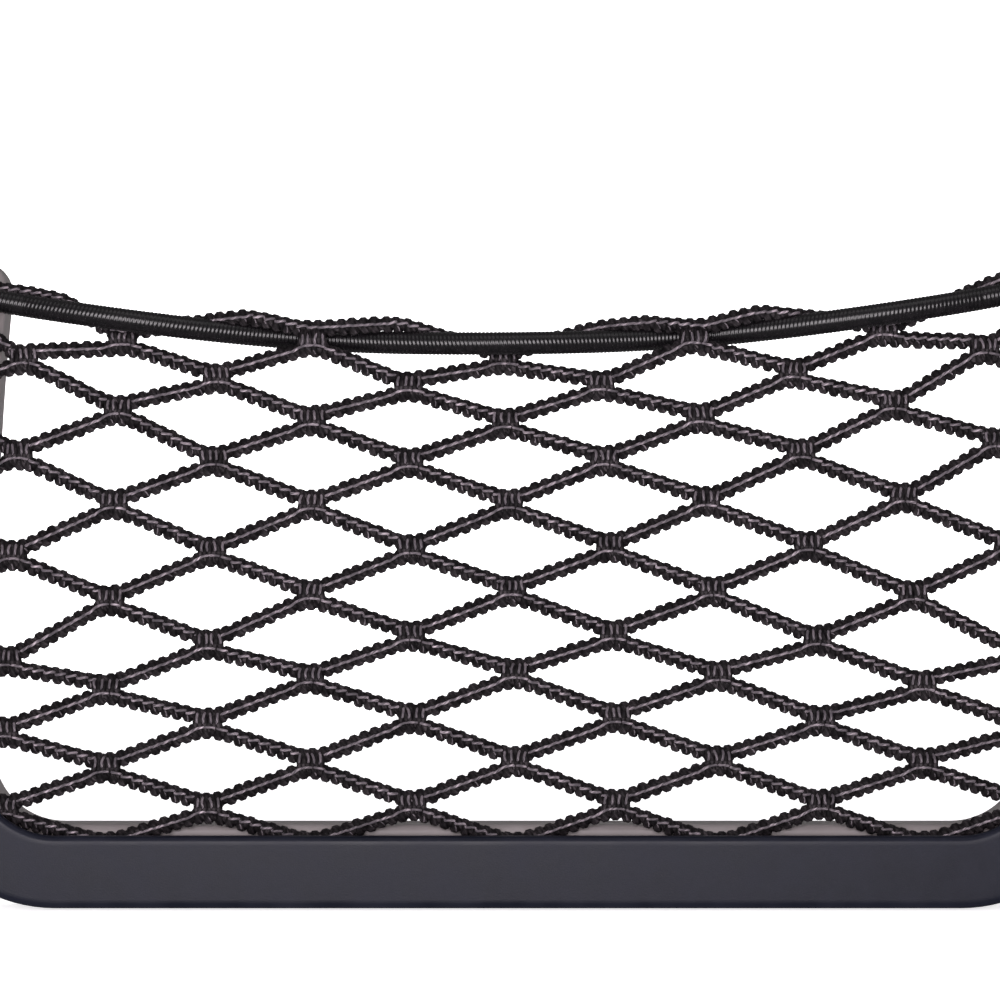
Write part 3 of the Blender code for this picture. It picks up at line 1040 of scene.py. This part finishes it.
def cord_material():
    """Smooth polyester wrap of the cord: dark, with a close gloss and faint clouding."""
    material, nodes, shader = new_material("cord_wrap")
    spot = nodes.add("ShaderNodeTexCoord")
    cloud = nodes.noise(spot.outputs["Object"], scale=1500.0, detail=3.0)
    tone = nodes.remap(cloud, low=0.35, high=0.65)
    color = nodes.mix_color(tone, (*CORD_DARK, 1.0), (*CORD_LIGHT, 1.0))
    roughness = nodes.remap(cloud, low=0.35, high=0.65, to_low=0.30, to_high=0.22)
    nodes.join(color, shader.inputs["Base Color"])
    nodes.join(roughness, shader.inputs["Roughness"])
    shader.inputs["Specular IOR Level"].default_value = CORD_GLOSS
    return material


def plastic_material(name, dark, light):
    """Satin moulded plastic: fine spark-eroded grain, uneven gloss and slightly clouded colour."""
    material, nodes, shader = new_material(name)
    spot = nodes.add("ShaderNodeTexCoord")
    grain = nodes.noise(spot.outputs["Object"], scale=5200.0, detail=3.0)
    cloud = nodes.noise(spot.outputs["Object"], scale=160.0, detail=4.0)
    tone = nodes.remap(cloud, low=0.35, high=0.75)
    color = nodes.mix_color(tone, (*dark, 1.0), (*light, 1.0))
    roughness = nodes.remap(cloud, low=0.3, high=0.7, to_low=0.30, to_high=0.42)
    nodes.join(nodes.bump(grain, PLASTIC_GRAIN, PLASTIC_RELIEF), shader.inputs["Normal"])
    nodes.join(roughness, shader.inputs["Roughness"])
    nodes.join(color, shader.inputs["Base Color"])
    shader.inputs["Specular IOR Level"].default_value = PLASTIC_GLOSS
    return material


def paper_material():
    """Matt white paper of the stage, which glows as if it were lit from behind."""
    material, _, shader = new_material("studio_paper")
    shader.inputs["Base Color"].default_value = (*PAPER_COLOR, 1.0)
    shader.inputs["Roughness"].default_value = PAPER_ROUGHNESS
    shader.inputs["Emission Color"].default_value = AIR_COLOR
    shader.inputs["Emission Strength"].default_value = PAPER_GLOW
    return material


def dress(item, material, node):
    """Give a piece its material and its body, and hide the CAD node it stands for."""
    item.data.materials.append(material)
    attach(item, "root")
    if node:
        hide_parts(node)


# ---------------------------------------------------------------- stage

def make_stage():
    """A pale floor that bends up into a backdrop."""
    floor = COVER_LOW[2] - FLOOR_GAP
    turn = np.linspace(0.0, np.pi / 2, SWEEP_STEPS)
    y = np.concatenate([
        [SWEEP_FRONT],
        SWEEP_BACK - SWEEP_BEND + SWEEP_BEND * np.sin(turn),
        [SWEEP_BACK],
    ])
    z = floor + np.concatenate([[0.0], SWEEP_BEND - SWEEP_BEND * np.cos(turn), [SWEEP_HEIGHT]])
    wide = np.array([-SWEEP_HALF_WIDTH, SWEEP_HALF_WIDTH])
    grid = np.stack([
        np.broadcast_to(wide[None, :], (len(y), 2)),
        np.broadcast_to(y[:, None], (len(y), 2)),
        np.broadcast_to(z[:, None], (len(z), 2)),
    ], axis=-1)
    row = np.arange(len(y) - 1)
    quads = np.stack([row * 2, row * 2 + 1, row * 2 + 3, row * 2 + 2], axis=-1)
    sweep = put_mesh("studio_sweep", grid, [quads])
    sweep.data.materials.append(paper_material())
    sweep.visible_glossy = False


def area_light(name, place_at, aim, size, power, color):
    """A rectangular soft light that points from one place to another."""
    data = bpy.data.lights.new(name, "AREA")
    data.shape = "RECTANGLE"
    data.size = size[0] * MM
    data.size_y = size[1] * MM
    data.energy = power
    data.color = color
    item = bpy.data.objects.new(name, data)
    item.location = Vector(place_at) * MM
    item.rotation_euler = (Vector(aim) - Vector(place_at)).to_track_quat("-Z", "Y").to_euler()
    item.visible_camera = False
    bpy.context.scene.collection.objects.link(item)


def make_lights():
    """A front softbox near the camera, a weak one above, a wash on the backdrop, and dim air."""
    for settings in LIGHTS:
        area_light(*settings)
    world = bpy.data.worlds.new("studio_air")
    world.use_nodes = True
    air = world.node_tree.nodes["Background"]
    air.inputs["Color"].default_value = AIR_COLOR
    air.inputs["Strength"].default_value = AIR_STRENGTH
    bpy.context.scene.world = world


def make_camera():
    """A level camera square to the net, as wide as the stretch of pocket that it shows."""
    data = bpy.data.cameras.new("camera")
    data.sensor_width = SENSOR
    data.lens = SENSOR * CAMERA_DISTANCE / VIEW_WIDTH
    data.clip_start = CLIP_START
    data.clip_end = CLIP_END
    item = bpy.data.objects.new("camera", data)
    item.location = Vector((VIEW_CENTRE[0], NET_PLANE - CAMERA_DISTANCE, VIEW_CENTRE[1])) * MM
    item.rotation_euler = (math.pi / 2, 0.0, 0.0)
    bpy.context.scene.collection.objects.link(item)
    bpy.context.scene.camera = item


# ---------------------------------------------------------------- assembly

def main():
    """Set the stage, then make and dress the pocket's pieces."""
    random = np.random.default_rng(SEED)
    make_camera()
    make_lights()
    make_stage()
    bpy.context.scene.view_settings.view_transform = "Standard"

    places = joint_places()
    lines = [strand_line(strand, places) for strand in range(len(ROWS))]
    filaments = yarn_group()
    # The yarns' pale colours are painted glints on near-black polyester, strongest on chain and
    # stitches.
    body = yarn_material("net_yarn_body", filaments, **BODY_YARN)
    chain_yarn = yarn_material("net_yarn_chain", filaments, **CHAIN_YARN)
    stitch_yarn = yarn_material("net_yarn_stitch", filaments, **STITCH_YARN)
    wrap = cord_material()

    cores = make_cores(lines)
    half = len(lines) // 2
    picots = [
        make_picots("net_picots_upper", lines[:half], random),
        make_picots("net_picots_lower", lines[half:], random),
    ]
    chains = make_chains(lines)
    side_yarns = make_side_yarns(lines, random)
    ties = make_joint_rings("net_joint_ties", places, TIE, TIE_REACH, random)
    stitches = make_joint_rings("net_joint_stitches", places, STITCH, STITCH_REACH, random)
    dress(cores, body, "net")
    for item in (*picots, ties):
        dress(item, body, None)
    dress(chains, chain_yarn, None)
    # The side yarns and the joint stitches wear the stitch yarn's painted glint colour.
    for item in (side_yarns, stitches):
        dress(item, stitch_yarn, None)

    cord, path = make_cord()
    dress(cord, wrap, "elastic_cord")

    grey = plastic_material("base_plastic_finish", BASE_DARK, BASE_LIGHT)
    black = plastic_material("frame_plastic_finish", COVER_DARK, COVER_LIGHT)
    dress(make_base(), grey, "frame_base")
    dress(make_cover(), black, "frame_cover")


main()
